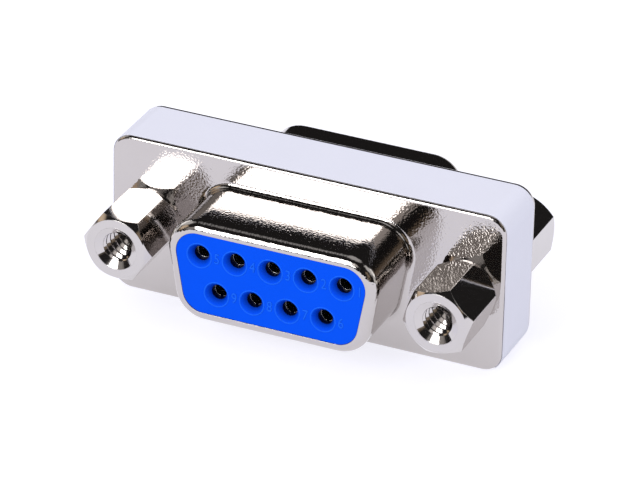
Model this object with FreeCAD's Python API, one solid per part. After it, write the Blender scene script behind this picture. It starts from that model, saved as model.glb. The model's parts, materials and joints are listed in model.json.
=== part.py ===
import FreeCAD, Part
import math
import os

# A nine-way D-sub gender changer with sockets on both sides, in millimetres.
# The origin is the middle of the body. +X runs along the body, -Y is the way the front connector faces
# and +Z is up. The rear half is the front half turned half a turn about the X axis, so pin 1 of the front
# lies behind pin 1 of the rear, and each contact cranks from one row to the other.

V = FreeCAD.Vector
CENTRE = V(0, 0, 0)
X_AXIS = V(1, 0, 0)
Y_AXIS = V(0, 1, 0)

# Contacts
PIN_PITCH = 2.77
ROW_SPACING = 2.84
WIDE_ROW_COUNT = 5
NARROW_ROW_COUNT = 4
SOCKET_R = 0.52
SOCKET_WALL = 0.28
SOCKET_SEAM = 0.2
CONTACT_CLEARANCE = 0.05
COLLAR_STEP = 0.25
COLLAR_LENGTH = 1.25
STRIP_WIDTH = 0.8
STRIP_THICKNESS = 0.25
STRIP_BEND_R = 0.2
STRIP_STRAIGHT = 0.35

# Body and sheet metal
BODY_DEPTH = 5.7
PLATE_CORNER_R = 1.5
SHEET = 0.35
EDGE_BEND_R = 0.3
EDGE_BEND_INNER_R = 0.07
SKIRT_SEAM = 0.2

# D-shaped shroud
SHROUD_END_MARGIN = 1.24
SHROUD_SIDE_MARGIN = 2.53
SHROUD_CORNER_R = 2.45
SHROUD_SLANT_DEG = 10.0
SHROUD_LENGTH = 6.17
RIM_INNER_R = 0.4
RIM_FLAT = 0.04
BASE_BEND_R = 0.45

# Jack nuts and the spacers between the plates
JACK_FROM_SHROUD = 4.33
HEX_ACROSS_FLATS = 4.75
HEX_LENGTH = 5.5
HEX_FACE_STEP = 0.075
HEX_CHAMFER_DEG = 45.0
HEX_BACK_TAPER_DEG = 29.0
WASHER_FACE = 0.1
THREAD_R = 1.4225
JACK_MOUTH_CHAMFER = 0.2575
JACK_BORE_FLOOR = 0.9
DRILL_POINT_DEG = 118.0
STUD_UNDERSIZE = 0.0225
STUD_END_GAP = 1.1
STUD_CHAMFER = 0.25
STUD_HOLE_CLEARANCE = 0.15
THREAD_CLEARANCE = 0.04
SPACER_WALL = 0.76
SPACER_CHAMFER = 0.2

# Angle of each nut's hexagon, seen from its own face, as it was left when tightened
FRONT_LEFT_TURN_DEG = -5.0
FRONT_RIGHT_TURN_DEG = 12.5
REAR_LEFT_TURN_DEG = 10.0
REAR_RIGHT_TURN_DEG = 32.0

# Insulator
PLUG_CLEARANCE = 0.06
NOSE_CLEARANCE = 0.02
FACE_RECESS = 0.03
FLANGE_END_GAP = 0.695
FLANGE_SIDE_MARGIN = 1.65
FLANGE_CORNER_R = 1.0
CHAMBER_END_MARGIN = 0.71
CHAMBER_SIDE_MARGIN = 0.83
CHAMBER_CORNER_R = 1.0
ENTRY_MOUTH_R = 0.88
ENTRY_R = 0.56
ENTRY_SINK_DEPTH = 0.5
ENTRY_DRAFT = 0.03
LIP_DEPTH = 0.95
PEG_R = 0.45
PEG_LENGTH = 0.7
PEG_INSET = 1.1
PEG_SIDE_INSET = 2.6
PEG_CLEARANCE = 0.05

# Room for the plate past the jack axes and past the flange's long sides
PLATE_END_MARGIN = 2.905
PLATE_SIDE_GAP = 0.3

# Label
LABEL_THICKNESS = 0.05
LABEL_FRONT_GAP = 0.2
LABEL_REAR_GAP = 0.5
LABEL_END_HEIGHT = 0.35

# Radii and outlines that follow from the sizes above: the contacts set the shroud, the shroud sets the
# jack nuts, and these set the flange and the plate
CONTACT_R = SOCKET_R + SOCKET_WALL
COLLAR_R = CONTACT_R + COLLAR_STEP
SHROUD_WIDTH = WIDE_ROW_COUNT * PIN_PITCH + 2 * SHROUD_END_MARGIN
SHROUD_HEIGHT = ROW_SPACING + 2 * SHROUD_SIDE_MARGIN
RIM_R = SHEET + RIM_INNER_R
JACK_X = SHROUD_WIDTH / 2 + JACK_FROM_SHROUD
JACK_MOUTH_R = THREAD_R + JACK_MOUTH_CHAMFER
STUD_R = THREAD_R - STUD_UNDERSIZE
SPACER_BORE_R = STUD_R + THREAD_CLEARANCE
SPACER_R = SPACER_BORE_R + SPACER_WALL
FLANGE_WIDTH = 2 * (JACK_X - SPACER_R - FLANGE_END_GAP)
FLANGE_HEIGHT = SHROUD_HEIGHT + 2 * FLANGE_SIDE_MARGIN
PLATE_WIDTH = 2 * (JACK_X + PLATE_END_MARGIN)
PLATE_HEIGHT = FLANGE_HEIGHT + 2 * (SHEET + PLATE_SIDE_GAP)
CHAMBER_WIDTH = (WIDE_ROW_COUNT - 1) * PIN_PITCH + 2 * (COLLAR_R + CHAMBER_END_MARGIN)
CHAMBER_HEIGHT = ROW_SPACING + 2 * (COLLAR_R + CHAMBER_SIDE_MARGIN)
HEX_FACE_R = HEX_ACROSS_FLATS / 2 - HEX_FACE_STEP
HEX_CORNER_R = HEX_ACROSS_FLATS / 2 / math.cos(math.radians(30))

# Places along Y, for the front half
PLATE_Y = -BODY_DEPTH / 2
PLATE_BACK_Y = PLATE_Y + SHEET
RIM_Y = PLATE_Y - SHROUD_LENGTH
FACE_Y = RIM_Y + FACE_RECESS
CONTACT_MOUTH_Y = FACE_Y + LIP_DEPTH
COLLAR_Y = PLATE_BACK_Y
CHAMBER_Y = COLLAR_Y + COLLAR_LENGTH
JACK_FACE_Y = PLATE_Y - HEX_LENGTH
JACK_BORE_END_Y = PLATE_Y - JACK_BORE_FLOOR
STUD_END_Y = -STUD_END_GAP / 2


def d_face(inset, y):
    """The D outline with its long side up, moved in by an inset, as a face at y."""
    slant = math.radians(SHROUD_SLANT_DEG)
    top_x = SHROUD_WIDTH / 2 - SHROUD_CORNER_R
    corner_z = SHROUD_HEIGHT / 2 - SHROUD_CORNER_R
    bottom_x = top_x - 2 * corner_z * math.tan(slant)
    radius = SHROUD_CORNER_R - inset
    quarter = math.pi / 2
    corners = [
        (top_x, corner_z, quarter, -slant),
        (bottom_x, -corner_z, -slant, -quarter),
        (-bottom_x, -corner_z, -quarter, slant - math.pi),
        (-top_x, corner_z, slant - math.pi, quarter - 2 * math.pi),
    ]
    arcs = []
    for x, z, start, end in corners:
        ends = [
            V(x + radius * math.cos(a), y, z + radius * math.sin(a))
            for a in (start, (start + end) / 2, end)
        ]
        arcs.append(ends)
    edges = []
    for i, (start, middle, end) in enumerate(arcs):
        edges.append(Part.Arc(start, middle, end).toShape())
        edges.append(Part.LineSegment(end, arcs[(i + 1) % len(arcs)][0]).toShape())
    return Part.Face(Part.Wire(edges))


def d_prism(inset, y_start, y_end):
    """A D-shaped prism from y_start to y_end."""
    return d_face(inset, y_start).extrude(V(0, y_end - y_start, 0))


def rounded_block(width, height, corner_r, y_start, y_end):
    """A block centred on the Y axis, with its four long edges rounded."""
    block = Part.makeBox(width, y_end - y_start, height, V(-width / 2, y_start, -height / 2))
    long_edges = [e for e in block.Edges if e.BoundBox.YLength > (y_end - y_start) / 2]
    return block.makeFillet(corner_r, long_edges)


def edges_at(shape, y, half_width):
    """The edges that lie flat at y and no further from the middle than half_width."""
    found = []
    for edge in shape.Edges:
        box = edge.BoundBox
        flat = abs(box.YMin - y) < 1e-4 and abs(box.YMax - y) < 1e-4
        if flat and max(-box.XMin, box.XMax) < half_width:
            found.append(edge)
    return found


def rounded_end(shape, y, radius):
    """The shape with its whole outline at y rounded."""
    return shape.makeFillet(radius, edges_at(shape, y, PLATE_WIDTH))


def bar(radius, y_start, y_end, x=0.0, z=0.0):
    """A round bar along Y."""
    return Part.makeCylinder(radius, y_end - y_start, V(x, y_start, z), Y_AXIS)


def cone(r_start, r_end, y_start, y_end, x=0.0, z=0.0):
    """A cone along Y."""
    return Part.makeCone(r_start, r_end, y_end - y_start, V(x, y_start, z), Y_AXIS)


def turned(shape):
    """A copy of a front piece turned half a turn about the X axis, which is its place at the rear."""
    copy = shape.copy()
    copy.rotate(CENTRE, X_AXIS, 180)
    return copy


def row_places():
    """The nine contacts as (x, side), where side is 1 for the wide row and -1 for the narrow one.

    They run in pin order: seen from the front, pin 1 is at the right of the wide row.
    """
    places = []
    for count, side in ((WIDE_ROW_COUNT, 1), (NARROW_ROW_COUNT, -1)):
        for i in range(count):
            places.append((((count - 1) / 2 - i) * PIN_PITCH, side))
    return places


def shell():
    """The front shell: one drawn sheet with its edge turned back and a shroud pushed out of it."""
    skirt_end = -SKIRT_SEAM / 2
    pan = rounded_block(PLATE_WIDTH, PLATE_HEIGHT, PLATE_CORNER_R, PLATE_Y, skirt_end)
    pan = rounded_end(pan, PLATE_Y, EDGE_BEND_R)
    shroud = rounded_end(d_prism(0, RIM_Y, PLATE_BACK_Y), RIM_Y, RIM_R)
    outside = pan.fuse(shroud).removeSplitter()
    base = edges_at(outside, PLATE_Y, SHROUD_WIDTH / 2 + SHEET)
    outside = outside.makeFillet(BASE_BEND_R, base)

    hollow = rounded_block(
        PLATE_WIDTH - 2 * SHEET,
        PLATE_HEIGHT - 2 * SHEET,
        PLATE_CORNER_R - SHEET,
        PLATE_BACK_Y,
        skirt_end + SHEET,
    )
    hollow = rounded_end(hollow, PLATE_BACK_Y, EDGE_BEND_INNER_R)
    throat = d_prism(SHEET, RIM_Y + SHEET, PLATE_BACK_Y + SHEET)
    throat = rounded_end(throat, RIM_Y + SHEET, RIM_R - SHEET)
    inside = hollow.fuse(throat).removeSplitter()
    base = edges_at(inside, PLATE_BACK_Y, SHROUD_WIDTH / 2)
    inside = inside.makeFillet(BASE_BEND_R + SHEET, base)

    opening = d_prism(RIM_R + RIM_FLAT, RIM_Y - SHEET, RIM_Y + 2 * SHEET)
    metal = outside.cut(inside).cut(opening)
    for x in (-JACK_X, JACK_X):
        metal = metal.cut(bar(STUD_R + STUD_HOLE_CLEARANCE, PLATE_Y - SHEET, PLATE_BACK_Y + SHEET, x))
    return metal


def contact_hole(x, z):
    """The hole for one contact: countersunk entry, drafted lip, bore and the seat of the collar."""
    bore_r = CONTACT_R + CONTACT_CLEARANCE
    seat_r = COLLAR_R + CONTACT_CLEARANCE
    tools = [
        cone(ENTRY_MOUTH_R, ENTRY_R, FACE_Y, FACE_Y + ENTRY_SINK_DEPTH, x, z),
        cone(ENTRY_R, ENTRY_R + ENTRY_DRAFT, FACE_Y, CONTACT_MOUTH_Y, x, z),
        bar(bore_r, CONTACT_MOUTH_Y, CHAMBER_Y, x, z),
        bar(seat_r, COLLAR_Y, CHAMBER_Y, x, z),
    ]
    return tools[0].multiFuse(tools[1:])


def insulator():
    """The front insulator: a D-shaped plug on a flange, with half of the chamber that the strips cross."""
    shoulder_y = RIM_Y + SHEET + PLUG_CLEARANCE
    plug = d_prism(SHEET + PLUG_CLEARANCE, shoulder_y, PLATE_BACK_Y + SHEET)
    plug = rounded_end(plug, shoulder_y, RIM_R - SHEET - PLUG_CLEARANCE)
    nose = d_prism(RIM_R + RIM_FLAT + NOSE_CLEARANCE, FACE_Y, shoulder_y + SHEET)
    flange = rounded_block(FLANGE_WIDTH, FLANGE_HEIGHT, FLANGE_CORNER_R, PLATE_BACK_Y, 0)
    block = flange.multiFuse([plug, nose])
    chamber = rounded_block(CHAMBER_WIDTH, CHAMBER_HEIGHT, CHAMBER_CORNER_R, CHAMBER_Y, SHEET)
    holes = [contact_hole(x, side * ROW_SPACING / 2) for x, side in row_places()]

    peg_x = FLANGE_WIDTH / 2 - PEG_INSET
    peg_z = FLANGE_HEIGHT / 2 - PEG_SIDE_INSET
    for side in (-1, 1):
        socket_depth = PEG_LENGTH + PEG_CLEARANCE
        socket_r = PEG_R + PEG_CLEARANCE
        holes.append(bar(socket_r, -socket_depth, SHEET, side * peg_x, side * peg_z))
        block = block.fuse(bar(PEG_R, -PEG_LENGTH, PEG_LENGTH, side * peg_x, -side * peg_z))
    return block.cut(chamber.multiFuse(holes)).removeSplitter()


def socket(z, seam_side):
    """One end of a contact: a rolled tube with its seam, and the collar that seats it."""
    tube = bar(CONTACT_R, CONTACT_MOUTH_Y, CHAMBER_Y, 0, z)
    tube = tube.fuse(bar(COLLAR_R, COLLAR_Y, CHAMBER_Y, 0, z))
    bore = bar(SOCKET_R, CONTACT_MOUTH_Y, CHAMBER_Y, 0, z)
    seam_low = min(z, z + seam_side * COLLAR_R)
    seam = Part.makeBox(
        SOCKET_SEAM,
        COLLAR_Y - CONTACT_MOUTH_Y,
        COLLAR_R,
        V(-SOCKET_SEAM / 2, CONTACT_MOUTH_Y, seam_low),
    )
    return tube.cut(bore.fuse(seam))


def strip():
    """The cranked strip from the front socket of a wide-row contact down to its rear socket."""
    height = ROW_SPACING / 2 - SOCKET_R - STRIP_THICKNESS / 2
    run = -CHAMBER_Y - STRIP_STRAIGHT
    reach = -CHAMBER_Y + STRIP_STRAIGHT
    slope = math.atan2(2 * height, 2 * run)
    shift = STRIP_THICKNESS / 2 * math.tan(slope / 2)
    half = STRIP_THICKNESS / 2
    bends = [
        (-run + shift, height + half),
        (run + shift, -height + half),
        (run - shift, -height - half),
        (-run - shift, height - half),
    ]
    outline = [
        (-reach, height + half),
        bends[0],
        bends[1],
        (reach, -height + half),
        (reach, -height - half),
        bends[2],
        bends[3],
        (-reach, height - half),
    ]
    corners = [V(-STRIP_WIDTH / 2, y, z) for y, z in outline]
    flat = Part.Face(Part.makePolygon(corners + corners[:1])).extrude(V(STRIP_WIDTH, 0, 0))
    inner, outer = STRIP_BEND_R, STRIP_BEND_R + STRIP_THICKNESS
    for (y, z), radius in zip(bends, (outer, inner, outer, inner)):
        here = [
            e
            for e in flat.Edges
            if abs(e.CenterOfMass.y - y) < 1e-4 and abs(e.CenterOfMass.z - z) < 1e-4
        ]
        flat = flat.makeFillet(radius, here)
    return flat


def wide_row_contact():
    """A contact of the wide row at x = 0: its front socket is in the upper row, its rear one in the lower."""
    front = socket(ROW_SPACING / 2, 1)
    return front.multiFuse([strip(), turned(front)]).removeSplitter()


def contacts():
    """The nine contacts in pin order. Those of the narrow row are the wide row's, upside down."""
    upper = wide_row_contact()
    lower = upper.copy()
    lower.rotate(CENTRE, Y_AXIS, 180)
    pieces = []
    for x, side in row_places():
        piece = (upper if side > 0 else lower).copy()
        piece.translate(V(x, 0, 0))
        pieces.append(piece)
    return pieces


def jack_nut(turn_deg):
    """A jack nut on the Y axis: a chamfered hexagon, tapered to a round face at the plate, blind bore, stud."""
    angles = [math.radians(turn_deg + 60 * i) for i in range(7)]
    corners = [V(HEX_CORNER_R * math.cos(a), JACK_FACE_Y, HEX_CORNER_R * math.sin(a)) for a in angles]
    hexagon = Part.Face(Part.makePolygon(corners)).extrude(V(0, HEX_LENGTH, 0))
    corner = HEX_CORNER_R - HEX_FACE_R
    chamfer_y = JACK_FACE_Y + corner / math.tan(math.radians(HEX_CHAMFER_DEG))
    washer_y = PLATE_Y - WASHER_FACE
    taper_y = washer_y - corner / math.tan(math.radians(HEX_BACK_TAPER_DEG))
    turning = [
        (0, JACK_FACE_Y),
        (HEX_FACE_R, JACK_FACE_Y),
        (HEX_CORNER_R, chamfer_y),
        (HEX_CORNER_R, taper_y),
        (HEX_FACE_R, washer_y),
        (HEX_FACE_R, PLATE_Y),
        (0, PLATE_Y),
    ]
    nut = hexagon.common(revolved(turning))
    stud = bar(STUD_R, PLATE_Y - SHEET, STUD_END_Y - STUD_CHAMFER)
    stud_tip = cone(STUD_R, STUD_R - STUD_CHAMFER, STUD_END_Y - STUD_CHAMFER, STUD_END_Y)
    point = THREAD_R / math.tan(math.radians(DRILL_POINT_DEG / 2))
    hole = bar(THREAD_R, JACK_FACE_Y, JACK_BORE_END_Y).multiFuse(
        [
            cone(JACK_MOUTH_R, THREAD_R, JACK_FACE_Y, JACK_FACE_Y + JACK_MOUTH_CHAMFER),
            cone(THREAD_R, 0, JACK_BORE_END_Y, JACK_BORE_END_Y + point),
        ]
    )
    return nut.multiFuse([stud, stud_tip]).removeSplitter().cut(hole)


def revolved(outline):
    """A solid turned about the Y axis from (radius, y) points."""
    points = [V(r, y, 0) for r, y in outline]
    return Part.Face(Part.makePolygon(points + points[:1])).revolve(CENTRE, Y_AXIS, 360)


def jack_nuts():
    """The four jack nuts by name, each in its place."""
    nuts = {}
    for name, x, turn_deg, at_rear in (
        ("front_left_jack_nut", -JACK_X, FRONT_LEFT_TURN_DEG, False),
        ("front_right_jack_nut", JACK_X, FRONT_RIGHT_TURN_DEG, False),
        ("rear_left_jack_nut", -JACK_X, REAR_LEFT_TURN_DEG, True),
        ("rear_right_jack_nut", JACK_X, REAR_RIGHT_TURN_DEG, True),
    ):
        nut = jack_nut(turn_deg)
        nut.translate(V(x, 0, 0))
        nuts[name] = turned(nut) if at_rear else nut
    return nuts


def spacer(x):
    """A threaded sleeve from one plate's back to the other's, which takes the studs of two nuts."""
    half = -PLATE_BACK_Y
    end_r = SPACER_R - SPACER_CHAMFER
    sleeve = revolved(
        [
            (SPACER_BORE_R, -half),
            (end_r, -half),
            (SPACER_R, SPACER_CHAMFER - half),
            (SPACER_R, half - SPACER_CHAMFER),
            (end_r, half),
            (SPACER_BORE_R, half),
        ]
    )
    sleeve.translate(V(x, 0, 0))
    return sleeve


def label_band():
    """The label: one strip over the top and both ends of the skirts, stopping just above the underside.

    It is laid towards the front, so a little bare metal shows behind it.
    """
    start_y = PLATE_Y + LABEL_FRONT_GAP
    end_y = -PLATE_Y - LABEL_REAR_GAP
    outer = rounded_block(
        PLATE_WIDTH + 2 * LABEL_THICKNESS,
        PLATE_HEIGHT + 2 * LABEL_THICKNESS,
        PLATE_CORNER_R + LABEL_THICKNESS,
        start_y,
        end_y,
    )
    body = rounded_block(PLATE_WIDTH, PLATE_HEIGHT, PLATE_CORNER_R, start_y, end_y)
    underside = Part.makeBox(
        2 * PLATE_WIDTH,
        end_y - start_y,
        PLATE_HEIGHT,
        V(-PLATE_WIDTH, start_y, LABEL_END_HEIGHT - 1.5 * PLATE_HEIGHT),
    )
    return outer.cut(body.fuse(underside))


def pieces():
    """Every piece of the adapter by name."""
    front_shell = shell()
    front_insulator = insulator()
    found = {
        "front_shell": front_shell,
        "rear_shell": turned(front_shell),
        "front_insulator": front_insulator,
        "rear_insulator": turned(front_insulator),
        "left_spacer": spacer(-JACK_X),
        "right_spacer": spacer(JACK_X),
        "label_band": label_band(),
    }
    for number, contact in enumerate(contacts(), 1):
        found[f"contact_{number}"] = contact
    found.update(jack_nuts())
    return found


os.makedirs("parts", exist_ok=True)
for node, shape in pieces().items():
    shape.exportStep(f"parts/{node}.step")
    box = shape.BoundBox
    print(
        f"{node}: {len(shape.Solids)} solid, valid {shape.isValid()}, {shape.Volume:.2f} mm3,",
        f"{box.XLength:.2f} x {box.YLength:.2f} x {box.ZLength:.2f}",
    )
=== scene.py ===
import json
import math

import bpy
from mathutils import Matrix, Vector


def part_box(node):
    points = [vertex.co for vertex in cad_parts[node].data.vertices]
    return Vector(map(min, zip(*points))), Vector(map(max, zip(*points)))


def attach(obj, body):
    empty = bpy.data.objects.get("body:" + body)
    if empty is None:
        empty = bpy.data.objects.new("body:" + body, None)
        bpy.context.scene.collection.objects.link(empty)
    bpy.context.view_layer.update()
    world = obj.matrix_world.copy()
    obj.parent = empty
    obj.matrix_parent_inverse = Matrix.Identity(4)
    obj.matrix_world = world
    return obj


# Looks of a nine-way D-sub gender changer on a pale floor. The frame is the part's own: metres, +X along the
# body, -Y the way the front connector faces, +Z up.

MM = 0.001
SHEET = 0.35 * MM

# Camera, fitted to the contact and jack nut centres
PHOTO_WIDTH_PX = 640
FOCAL_LENGTH_PX = 4766.0
SENSOR_WIDTH_MM = 36.0
CAMERA_AZIMUTH_DEG = 23.369
CAMERA_ELEVATION_DEG = 28.221
CAMERA_ROLL_DEG = 1.303
CAMERA_DISTANCE = 342.9 * MM
AIM_RIGHT = 1.071 * MM
AIM_UP = 0.914 * MM
CLIP_NEAR = 0.01
CLIP_FAR = 20.0

# Threads of the jack nuts, 4-40 UNC
THREAD_PITCH = 0.635 * MM
THREAD_MINOR_R = 1.12 * MM
THREAD_ROOT_OVERLAP = 0.01 * MM
THREAD_BASE_SHARE = 0.44
THREAD_CREST_SHARE = 0.09
THREAD_STEPS_PER_TURN = 72
THREAD_FADE_TURNS = 0.3
THREAD_FADED_SHARE = 0.02
THREAD_END_GAP = 0.5 * MM
SINK_HALF_ANGLE_DEG = 60.0

# Moulded marks on the insulator faces
MARK_HEIGHT = 0.025 * MM
MARK_SINK = 0.01 * MM
NUMERAL_SIZE = 1.15 * MM
NUMERAL_OFFSET = 1.385 * MM
NUMERAL_WIDTH_SCALE = 0.8
RING_R = 0.955 * MM
RING_WIDTH = 0.11 * MM
RING_STEPS = 64
RING_SIDES = 8

# Meshes of the solids
WELD_DISTANCE = 0.001 * MM
SHARP_EDGE_DEG = 28.0

# Bright plated metals
METALS = {
    "shell_nickel": {
        "colour": (0.56, 0.528, 0.51),
        "roughness": 0.06,
        "peel_depth": 0.010 * MM,
        "wave_depth": 0.004 * MM,
        "edge_radius": 0.04 * MM,
    },
    "nut_nickel": {
        "colour": (0.595, 0.567, 0.55),
        "roughness": 0.09,
        "peel_depth": 0.001 * MM,
        "wave_depth": 0.003 * MM,
        "edge_radius": 0.05 * MM,
    },
    "contact_plating": {
        "colour": (0.62, 0.62, 0.63),
        "roughness": 0.22,
        "peel_depth": 0.002 * MM,
        "wave_depth": 0.002 * MM,
        "edge_radius": 0.04 * MM,
    },
}
PEEL_PER_MM = 6.0
WAVE_PER_MM = 0.55
TARNISH_PER_MM = 0.35
TARNISH_SHADE = 0.93
POLISH_PER_MM = 1.3
POLISH_RANGE = (0.7, 1.3)
EDGE_SAMPLES = 6

# Moulded plastic
PLASTIC_BLUE = (0.001, 0.095, 0.94)
# Painted highlight: the rings and numerals round the holes are a lighter blue than the face, standing in for the
# light caught on their edges.
MARK_HIGHLIGHT_BLUE = (0.010, 0.150, 1.0)
PLASTIC_SPECULAR = 0.05
PLASTIC_ROUGHNESS = (0.42, 0.58)
PLASTIC_EDGE_R = 0.06 * MM
FLOW_PER_MM = 0.4
FLOW_SHADE = 0.94
PLASTIC_GRAIN_PER_MM = 9.0
PLASTIC_GRAIN_DEPTH = 0.0015 * MM
# Painted shade: in hollows and holes the plastic's colour falls towards a small share of itself, wherever
# ambient occlusion finds the surface closed in.
HOLLOW_REACH = 1.6 * MM
HOLLOW_OPENNESS = (0.34, 0.76)
PAINTED_HOLLOW_SHADE = 0.04
HOLLOW_SAMPLES = 16

# Label film
FILM_WHITE = (0.87, 0.875, 0.98)
FILM_ROUGHNESS = (0.38, 0.5)
FILM_EDGE_R = 0.03 * MM
CLOUD_PER_MM = 0.25
CLOUD_SHADE = 0.97
FILM_GRAIN_PER_MM = 4.0
FILM_GRAIN_DEPTH = 0.002 * MM

# Studio
FLOOR_SIZE = 4.0
FLOOR_COLOUR = (0.48, 0.48, 0.52)
FLOOR_GLOW = (0.67, 0.67, 0.715)
SOFTBOX_DIRECTION = Vector((-0.258, -0.861, 0.438))
SOFTBOX_DISTANCE = 0.8
SOFTBOX_SIZE = (0.325, 0.50)
SOFTBOX_RADIANCE = 5.4
SOFTBOX_ROLL_DEG = 16.0
FILL_DIRECTION = Vector((0.95, -0.25, 0.3))
FILL_SIZE = (0.6, 0.6)
FILL_RADIANCE = 1.0
FILL_COLOUR = (0.94, 0.96, 1.0)

# World: what the camera and dull surfaces see, and the room that bright metal sees, dark with soft spots.
# Each spot has its direction, the angles where it is full and where it ends, and its colour.
CAMERA_WHITE = (1.0, 1.0, 1.0)
EVEN_LIGHT = (0.76, 0.76, 0.80)
ROOM_DARK = (0.016, 0.015, 0.015)
ROOM_SPOTS = (
    ((0.60, -0.80, 0.02), 4, 14, (0.24, 0.19, 0.14)),
    ((0.71, -0.60, 0.37), 6, 14, (0.26, 0.20, 0.14)),
    ((-0.88, -0.34, 0.34), 7, 16, (0.85, 0.66, 0.47)),
    ((-0.56, -0.78, 0.27), 6, 16, (0.36, 0.335, 0.32)),
    ((0.05, -0.80, 0.58), 5, 13, (0.70, 0.66, 0.64)),
    ((0.1, 1.0, -0.25), 24, 34, (1.0, 1.0, 1.0)),
    ((0.86, 0.36, 0.42), 9, 17, (1.5, 1.48, 1.46)),
    ((-0.85, 0.35, 0.40), 10, 18, (1.5, 1.48, 1.46)),
    ((0.0, 0.15, 1.0), 12, 28, (0.50, 0.49, 0.49)),
    ((0.78, 0.05, 0.62), 8, 22, (0.70, 0.69, 0.68)),
    ((-0.78, 0.05, 0.62), 8, 22, (0.70, 0.69, 0.68)),
    ((1.0, 0.10, 0.12), 6, 14, (0.80, 0.78, 0.76)),
    ((-1.0, 0.10, 0.12), 6, 14, (0.80, 0.78, 0.76)),
)


def view_axes(azimuth_deg, elevation_deg, roll_deg):
    """Right, up and back of a camera that looks at the object from that side."""
    azimuth = math.radians(azimuth_deg)
    elevation = math.radians(elevation_deg)
    roll = math.radians(roll_deg)
    back = Vector(
        (
            math.sin(azimuth) * math.cos(elevation),
            -math.cos(azimuth) * math.cos(elevation),
            math.sin(elevation),
        )
    )
    level_right = Vector((math.cos(azimuth), math.sin(azimuth), 0))
    level_up = back.cross(level_right)
    right = level_right * math.cos(roll) + level_up * math.sin(roll)
    up = level_up * math.cos(roll) - level_right * math.sin(roll)
    return right, up, back


def axes_matrix(right, up, back, place):
    """A matrix with these axes as its columns."""
    matrix = Matrix((right, up, back)).transposed().to_4x4()
    matrix.translation = place
    return matrix


def make_camera():
    """The camera at the photograph's angle, aimed near the middle of the front plate."""
    data = bpy.data.cameras.new("camera")
    data.sensor_width = SENSOR_WIDTH_MM
    data.lens = FOCAL_LENGTH_PX / PHOTO_WIDTH_PX * SENSOR_WIDTH_MM
    data.clip_start = CLIP_NEAR
    data.clip_end = CLIP_FAR
    camera = bpy.data.objects.new("camera", data)
    bpy.context.scene.collection.objects.link(camera)
    right, up, back = view_axes(CAMERA_AZIMUTH_DEG, CAMERA_ELEVATION_DEG, CAMERA_ROLL_DEG)
    plate_middle = Vector((0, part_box("left_spacer")[0].y - SHEET, 0))
    place = plate_middle + AIM_RIGHT * right + AIM_UP * up + CAMERA_DISTANCE * back
    camera.matrix_world = axes_matrix(right, up, back, place)
    bpy.context.scene.camera = camera


def add_node(tree, kind, values=None, **settings):
    """A shader or geometry node, with values for its input sockets by name."""
    node = tree.nodes.new(kind)
    for name, value in settings.items():
        setattr(node, name, value)
    for name, value in (values or {}).items():
        node.inputs[name].default_value = value
    return node


def new_material(name):
    """An empty node material. Returns it, its tree, its Principled node and the position in millimetres."""
    material = bpy.data.materials.new(name)
    material.use_nodes = True
    tree = material.node_tree
    tree.nodes.clear()
    output = add_node(tree, "ShaderNodeOutputMaterial")
    shader = add_node(tree, "ShaderNodeBsdfPrincipled")
    tree.links.new(shader.outputs["BSDF"], output.inputs["Surface"])
    coordinates = add_node(tree, "ShaderNodeTexCoord")
    scaled = add_node(tree, "ShaderNodeMapping", {"Scale": (1 / MM, 1 / MM, 1 / MM)})
    tree.links.new(coordinates.outputs["Object"], scaled.inputs["Vector"])
    return material, tree, shader, scaled.outputs["Vector"]


def noise(tree, place, per_mm, detail=2.0, roughness=0.5):
    """Noise with that many features per millimetre."""
    node = add_node(
        tree, "ShaderNodeTexNoise", {"Scale": per_mm, "Detail": detail, "Roughness": roughness}
    )
    tree.links.new(place, node.inputs["Vector"])
    return node.outputs["Fac"]


def ramp(tree, value, low, high):
    """The value from 0 to 1 mapped onto low to high."""
    node = add_node(tree, "ShaderNodeMapRange", {"To Min": low, "To Max": high})
    tree.links.new(value, node.inputs["Value"])
    return node.outputs["Result"]


def shaded(colour, share):
    """The colour darkened to that share."""
    return tuple(c * share for c in colour)


def colour_mix(tree, value, low, high):
    """Low at 0 and high at 1, each a colour or another node's output."""
    node = add_node(tree, "ShaderNodeMix", data_type="RGBA")
    for name, colour in (("A", low), ("B", high)):
        if isinstance(colour, tuple):
            node.inputs[name].default_value = (*colour, 1)
        else:
            tree.links.new(colour, node.inputs[name])
    tree.links.new(value, node.inputs["Factor"])
    return node.outputs["Result"]


def bumped(tree, shader, layers, edge_radius):
    """Stacks bump layers of (height, depth in metres) on the shader, over edges softened by that radius."""
    softened = add_node(tree, "ShaderNodeBevel", {"Radius": edge_radius}, samples=EDGE_SAMPLES)
    normal = softened.outputs["Normal"]
    for height, depth in layers:
        bump = add_node(tree, "ShaderNodeBump", {"Strength": 1.0, "Distance": depth})
        tree.links.new(height, bump.inputs["Height"])
        tree.links.new(normal, bump.inputs["Normal"])
        normal = bump.outputs["Normal"]
    tree.links.new(normal, shader.inputs["Normal"])


def nickel(name, colour, roughness, peel_depth, wave_depth, edge_radius):
    """Bright nickel plate: a fine orange peel over slow waves left by drawing, with patchy polish."""
    material, tree, shader, place = new_material(name)
    shader.inputs["Metallic"].default_value = 1.0
    peel = noise(tree, place, PEEL_PER_MM, detail=1.0)
    wave = noise(tree, place, WAVE_PER_MM, detail=1.0)
    tarnish = noise(tree, place, TARNISH_PER_MM, detail=3.0, roughness=0.6)
    base = colour_mix(tree, tarnish, colour, shaded(colour, TARNISH_SHADE))
    tree.links.new(base, shader.inputs["Base Color"])
    polish = noise(tree, place, POLISH_PER_MM, detail=4.0, roughness=0.6)
    least, most = (roughness * share for share in POLISH_RANGE)
    tree.links.new(ramp(tree, polish, least, most), shader.inputs["Roughness"])
    bumped(tree, shader, [(wave, wave_depth), (peel, peel_depth)], edge_radius)
    return material


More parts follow.
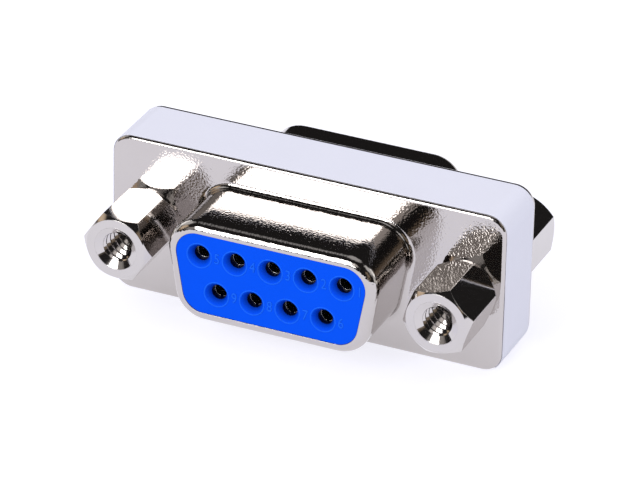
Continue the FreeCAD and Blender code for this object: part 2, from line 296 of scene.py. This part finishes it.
def moulded_plastic(name, colour):
    """Smooth moulded thermoplastic with a faint grain and flow shades, and painted shade that darkens its
    hollows from ambient occlusion.
    """
    material, tree, shader, place = new_material(name)
    flow = noise(tree, place, FLOW_PER_MM)
    open_colour = colour_mix(tree, flow, colour, shaded(colour, FLOW_SHADE))
    closed, opened = HOLLOW_OPENNESS
    # Painted shade: ambient occlusion darkens the colour in the hollows and the contact holes.
    sky = add_node(tree, "ShaderNodeAmbientOcclusion", {"Distance": HOLLOW_REACH}, samples=HOLLOW_SAMPLES)
    openness = add_node(tree, "ShaderNodeMapRange", {"From Min": closed, "From Max": opened})
    tree.links.new(sky.outputs["AO"], openness.inputs["Value"])
    base = colour_mix(tree, openness.outputs["Result"], shaded(colour, PAINTED_HOLLOW_SHADE), open_colour)
    tree.links.new(base, shader.inputs["Base Color"])
    shader.inputs["Specular IOR Level"].default_value = PLASTIC_SPECULAR
    grain = noise(tree, place, PLASTIC_GRAIN_PER_MM, detail=3.0)
    tree.links.new(ramp(tree, grain, *PLASTIC_ROUGHNESS), shader.inputs["Roughness"])
    bumped(tree, shader, [(grain, PLASTIC_GRAIN_DEPTH)], PLASTIC_EDGE_R)
    return material


def label_film(name, colour):
    """Satin label film with a faint orange peel and a slightly uneven white."""
    material, tree, shader, place = new_material(name)
    cloud = noise(tree, place, CLOUD_PER_MM)
    base = colour_mix(tree, cloud, colour, shaded(colour, CLOUD_SHADE))
    tree.links.new(base, shader.inputs["Base Color"])
    grain = noise(tree, place, FILM_GRAIN_PER_MM, detail=3.0)
    tree.links.new(ramp(tree, grain, *FILM_ROUGHNESS), shader.inputs["Roughness"])
    bumped(tree, shader, [(grain, FILM_GRAIN_DEPTH)], FILM_EDGE_R)
    return material


def sharp_edge_group():
    """Geometry nodes that shade a mesh smooth and mark its real edges sharp."""
    tree = bpy.data.node_groups.new("sharp_edges", "GeometryNodeTree")
    tree.interface.new_socket("Geometry", in_out="INPUT", socket_type="NodeSocketGeometry")
    tree.interface.new_socket("Geometry", in_out="OUTPUT", socket_type="NodeSocketGeometry")
    start = add_node(tree, "NodeGroupInput")
    end = add_node(tree, "NodeGroupOutput")
    smooth_faces = add_node(tree, "GeometryNodeSetShadeSmooth", {"Shade Smooth": True}, domain="FACE")
    sharp_edges = add_node(tree, "GeometryNodeSetShadeSmooth", {"Shade Smooth": False}, domain="EDGE")
    angle = add_node(tree, "GeometryNodeInputMeshEdgeAngle")
    is_sharp = add_node(tree, "FunctionNodeCompare", data_type="FLOAT", operation="GREATER_THAN")
    is_sharp.inputs["B"].default_value = math.radians(SHARP_EDGE_DEG)
    tree.links.new(start.outputs["Geometry"], smooth_faces.inputs["Geometry"])
    tree.links.new(smooth_faces.outputs["Geometry"], sharp_edges.inputs["Geometry"])
    tree.links.new(angle.outputs["Unsigned Angle"], is_sharp.inputs["A"])
    tree.links.new(is_sharp.outputs["Result"], sharp_edges.inputs["Selection"])
    tree.links.new(sharp_edges.outputs["Geometry"], end.inputs["Geometry"])
    return tree


def smooth_bends(piece, group):
    """Joins a CAD node's faces and lets its bends shade into its flats, with its real edges kept sharp."""
    weld = piece.modifiers.new("weld", "WELD")
    weld.merge_threshold = WELD_DISTANCE
    edges = piece.modifiers.new("edges", "NODES")
    edges.node_group = group
    normals = piece.modifiers.new("normals", "WEIGHTED_NORMAL")
    normals.keep_sharp = True


def mesh_piece(name, points, faces, material):
    """A new piece of the object from points and faces."""
    mesh = bpy.data.meshes.new(name)
    mesh.from_pydata(points, [], faces)
    mesh.update()
    piece = bpy.data.objects.new(name, mesh)
    bpy.context.scene.collection.objects.link(piece)
    mesh.materials.append(material)
    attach(piece, "root")
    return piece


def thread(nut, hole, material):
    """The thread inside a jack nut: a countersunk mouth, and a ridge wound on the bore's wall."""
    axis_x, middle_y, axis_z = hole["pos_m"]
    outward = hole["axis"][1]
    bore_r = hole["dims"]["r_mm"] * MM
    bore_end = middle_y - outward * hole["dims"]["length_mm"] * MM / 2
    bore_start = middle_y + outward * hole["dims"]["length_mm"] * MM / 2
    low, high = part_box(nut)
    face_y = low.y if outward < 0 else high.y
    mouth_r = bore_r + abs(face_y - bore_start)
    root_r = bore_r + THREAD_ROOT_OVERLAP
    sink = (mouth_r - THREAD_MINOR_R) / math.tan(math.radians(SINK_HALF_ANGLE_DEG))
    base = THREAD_PITCH * THREAD_BASE_SHARE
    crest = THREAD_PITCH * THREAD_CREST_SHARE
    points = []
    faces = []

    def add_section(angle, section):
        for radius, depth in section:
            across = axis_x - outward * radius * math.sin(angle)
            points.append((across, face_y - outward * depth, axis_z + radius * math.cos(angle)))

    def join_sections(first, second, size):
        for k in range(size):
            n = (k + 1) % size
            faces.append((first + k, second + k, second + n, first + n))

    mouth = [(mouth_r, 0), (THREAD_MINOR_R, sink), (root_r, sink + base - crest)]
    for i in range(THREAD_STEPS_PER_TURN):
        add_section(2 * math.pi * i / THREAD_STEPS_PER_TURN, mouth)
    for i in range(THREAD_STEPS_PER_TURN):
        following = (i + 1) % THREAD_STEPS_PER_TURN
        join_sections(i * len(mouth), following * len(mouth), len(mouth))

    first_depth = sink + crest
    turns = (abs(face_y - bore_end) - THREAD_END_GAP - first_depth) / THREAD_PITCH
    steps = round(turns * THREAD_STEPS_PER_TURN)
    offset = len(points)
    for i in range(steps + 1):
        turn = i / THREAD_STEPS_PER_TURN
        grown = min(1.0, (turns - turn) / THREAD_FADE_TURNS)
        crest_r = root_r + (THREAD_MINOR_R - root_r) * max(grown, THREAD_FADED_SHARE)
        depth = first_depth + turn * THREAD_PITCH
        section = [
            (root_r, depth - base),
            (crest_r, depth - crest),
            (crest_r, depth + crest),
            (root_r, depth + base),
        ]
        add_section(2 * math.pi * turn, section)
    for i in range(steps):
        join_sections(offset + 4 * i, offset + 4 * i + 4, 4)
    faces.append(tuple(offset + k for k in range(4)))
    faces.append(tuple(offset + 4 * steps + k for k in (3, 2, 1, 0)))
    return mesh_piece(nut.replace("jack_nut", "thread"), points, faces, material)


def ring(name, centre, outward, material):
    """A low moulded ring round a contact hole, a half-round bead sunk a little into the face."""
    points = []
    for i in range(RING_STEPS):
        around = 2 * math.pi * i / RING_STEPS
        for k in range(RING_SIDES):
            across = math.pi * k / (RING_SIDES - 1)
            radius = RING_R + RING_WIDTH / 2 * math.cos(across)
            height = (MARK_HEIGHT + MARK_SINK) * math.sin(across) - MARK_SINK
            points.append(
                (
                    centre.x + radius * math.cos(around),
                    centre.y + outward * height,
                    centre.z + radius * math.sin(around),
                )
            )
    faces = []
    for i in range(RING_STEPS):
        here = i * RING_SIDES
        there = (i + 1) % RING_STEPS * RING_SIDES
        for k in range(RING_SIDES):
            n = (k + 1) % RING_SIDES
            corners = (here + k, here + n, there + n, there + k)
            faces.append(corners if outward < 0 else corners[::-1])
    piece = mesh_piece(name, points, faces, material)
    piece.data.shade_smooth()
    return piece


def numeral(name, text, centre, outward, material):
    """A low moulded numeral that stands upright on the face and reads from outside."""
    curve = bpy.data.curves.new(name, "FONT")
    curve.body = text
    curve.size = NUMERAL_SIZE
    curve.align_x = "CENTER"
    curve.align_y = "CENTER"
    curve.extrude = (MARK_HEIGHT - MARK_SINK) / 2
    curve.bevel_depth = MARK_SINK
    curve.bevel_resolution = 1
    lettering = bpy.data.objects.new(name, curve)
    right = Vector((-outward, 0, 0)) * NUMERAL_WIDTH_SCALE
    middle = centre + Vector((0, outward * (MARK_HEIGHT - MARK_SINK) / 2, 0))
    mesh = bpy.data.meshes.new_from_object(lettering)
    mesh.transform(axes_matrix(right, Vector((0, 0, 1)), Vector((0, outward, 0)), middle))
    bpy.data.objects.remove(lettering)
    mesh.materials.clear()
    mesh.materials.append(material)
    mesh.name = name
    piece = bpy.data.objects.new(name, mesh)
    bpy.context.scene.collection.objects.link(piece)
    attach(piece, "root")
    return piece


def face_marks(mounts, material):
    """The ring and the numeral of each contact hole on both insulators."""
    for end in ("front", "rear"):
        low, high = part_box(f"{end}_insulator")
        face_y = low.y if end == "front" else high.y
        outward = -1 if end == "front" else 1
        number = 1
        while f"{end}_socket_{number}" in mounts:
            x, _, z = mounts[f"{end}_socket_{number}"]["pos_m"]
            centre = Vector((x, face_y, z))
            ring(f"{end}_hole_ring_{number}", centre, outward, material)
            beside = centre + Vector((-outward * NUMERAL_OFFSET, 0, 0))
            numeral(f"{end}_numeral_{number}", str(number), beside, outward, material)
            number += 1


def seen_rays(tree):
    """1 for the rays of the camera and of reflections, which all see the same background, and 0 for the rest."""
    path = add_node(tree, "ShaderNodeLightPath")
    rays = path.outputs["Is Camera Ray"]
    for kind in ("Is Glossy Ray", "Is Transmission Ray"):
        either = add_node(tree, "ShaderNodeMath", operation="MAXIMUM")
        tree.links.new(rays, either.inputs[0])
        tree.links.new(path.outputs[kind], either.inputs[1])
        rays = either.outputs["Value"]
    return rays


def make_floor():
    """A pale floor that shows white, apart from the object's soft shadow."""
    material = bpy.data.materials.new("floor")
    material.use_nodes = True
    tree = material.node_tree
    tree.nodes.clear()
    output = add_node(tree, "ShaderNodeOutputMaterial")
    surface = add_node(tree, "ShaderNodeBsdfDiffuse", {"Color": (*FLOOR_COLOUR, 1)})
    glow = add_node(tree, "ShaderNodeEmission", {"Color": (*FLOOR_GLOW, 1)})
    total = add_node(tree, "ShaderNodeAddShader")
    tree.links.new(seen_rays(tree), glow.inputs["Strength"])
    tree.links.new(surface.outputs["BSDF"], total.inputs[0])
    tree.links.new(glow.outputs["Emission"], total.inputs[1])
    tree.links.new(total.outputs["Shader"], output.inputs["Surface"])

    half = FLOOR_SIZE / 2
    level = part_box("front_shell")[0].z
    mesh = bpy.data.meshes.new("floor")
    corners = [(x, y, level) for x, y in ((-half, -half), (half, -half), (half, half), (-half, half))]
    mesh.from_pydata(corners, [], [(0, 1, 2, 3)])
    mesh.materials.append(material)
    floor = bpy.data.objects.new("floor", mesh)
    bpy.context.scene.collection.objects.link(floor)


def area_light(name, direction, size, radiance, roll_deg=0.0):
    """A soft light of that width and height that faces the object from that direction, its top rolled left."""
    data = bpy.data.lights.new(name, "AREA")
    data.shape = "RECTANGLE"
    data.size, data.size_y = size
    data.energy = radiance * math.pi * data.size * data.size_y
    light = bpy.data.objects.new(name, data)
    bpy.context.scene.collection.objects.link(light)
    toward = direction.normalized()
    upright = toward.to_track_quat("Z", "Y").to_matrix().to_4x4()
    light.matrix_world = upright @ Matrix.Rotation(math.radians(roll_deg), 4, "Z")
    light.location = toward * SOFTBOX_DISTANCE
    return light


def direction_spot(tree, direction, aim, inner_deg, outer_deg):
    """1 near that direction of the sky and 0 beyond the outer angle."""
    dot = add_node(tree, "ShaderNodeVectorMath", {1: aim.normalized()}, operation="DOT_PRODUCT")
    tree.links.new(direction, dot.inputs[0])
    edge = add_node(tree, "ShaderNodeMapRange", interpolation_type="SMOOTHSTEP")
    edge.inputs["From Min"].default_value = math.cos(math.radians(outer_deg))
    edge.inputs["From Max"].default_value = math.cos(math.radians(inner_deg))
    tree.links.new(dot.outputs["Value"], edge.inputs["Value"])
    return edge.outputs["Result"]


def make_world():
    """White for the camera, even light for dull surfaces and the room with its soft spots for bright metal."""
    world = bpy.data.worlds.new("studio")
    bpy.context.scene.world = world
    world.use_nodes = True
    tree = world.node_tree
    tree.nodes.clear()
    output = add_node(tree, "ShaderNodeOutputWorld")
    background = add_node(tree, "ShaderNodeBackground")
    tree.links.new(background.outputs["Background"], output.inputs["Surface"])
    direction = add_node(tree, "ShaderNodeTexCoord").outputs["Generated"]

    room = ROOM_DARK
    for aim, inner_deg, outer_deg, colour in ROOM_SPOTS:
        spot = direction_spot(tree, direction, Vector(aim), inner_deg, outer_deg)
        room = colour_mix(tree, spot, room, colour)

    path = add_node(tree, "ShaderNodeLightPath")
    off_camera = colour_mix(tree, path.outputs["Is Glossy Ray"], EVEN_LIGHT, room)
    sky = colour_mix(tree, path.outputs["Is Camera Ray"], off_camera, CAMERA_WHITE)
    tree.links.new(sky, background.inputs["Color"])


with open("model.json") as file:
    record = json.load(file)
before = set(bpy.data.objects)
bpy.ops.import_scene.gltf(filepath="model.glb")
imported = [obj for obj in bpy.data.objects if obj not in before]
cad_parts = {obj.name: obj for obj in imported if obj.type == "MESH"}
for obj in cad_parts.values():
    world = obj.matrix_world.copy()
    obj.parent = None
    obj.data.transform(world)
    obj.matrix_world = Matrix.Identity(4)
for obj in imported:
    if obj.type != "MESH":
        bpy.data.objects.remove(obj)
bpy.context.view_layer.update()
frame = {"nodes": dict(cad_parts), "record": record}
nodes = frame["nodes"]

make_camera()
make_world()
make_floor()
area_light("softbox", SOFTBOX_DIRECTION, SOFTBOX_SIZE, SOFTBOX_RADIANCE, SOFTBOX_ROLL_DEG)
side_fill = area_light("side_fill", FILL_DIRECTION, FILL_SIZE, FILL_RADIANCE)
side_fill.visible_glossy = False
side_fill.data.color = FILL_COLOUR

metals = {name: nickel(name, **look) for name, look in METALS.items()}
blue_plastic = moulded_plastic("blue_plastic", PLASTIC_BLUE)
# Painted highlight: the face marks are a lighter blue that stands in for light caught on their edges.
mark_plastic_painted_highlight = moulded_plastic("mark_plastic_painted_highlight", MARK_HIGHLIGHT_BLUE)
film = label_film("label_film", FILM_WHITE)

finishes = {
    "nickel_shell": metals["shell_nickel"],
    "nickel_nut": metals["nut_nickel"],
    "plated_contact": metals["contact_plating"],
    "spacer_brass": metals["contact_plating"],
    "blue_insulator": blue_plastic,
    "label": film,
}
edge_group = sharp_edge_group()
for subpart in frame["record"]["subparts"]:
    piece = nodes[subpart["node"]]
    piece.data.materials.clear()
    piece.data.materials.append(finishes[subpart["material_slot"]])
    smooth_bends(piece, edge_group)

mounts = {mount["name"]: mount for mount in frame["record"]["mounts"]}
for corner in ("front_left", "front_right", "rear_left", "rear_right"):
    thread(f"{corner}_jack_nut", mounts[f"{corner}_jack_thread"], metals["nut_nickel"])
face_marks(mounts, mark_plastic_painted_highlight)

scene = bpy.context.scene
scene.view_settings.view_transform = "Standard"
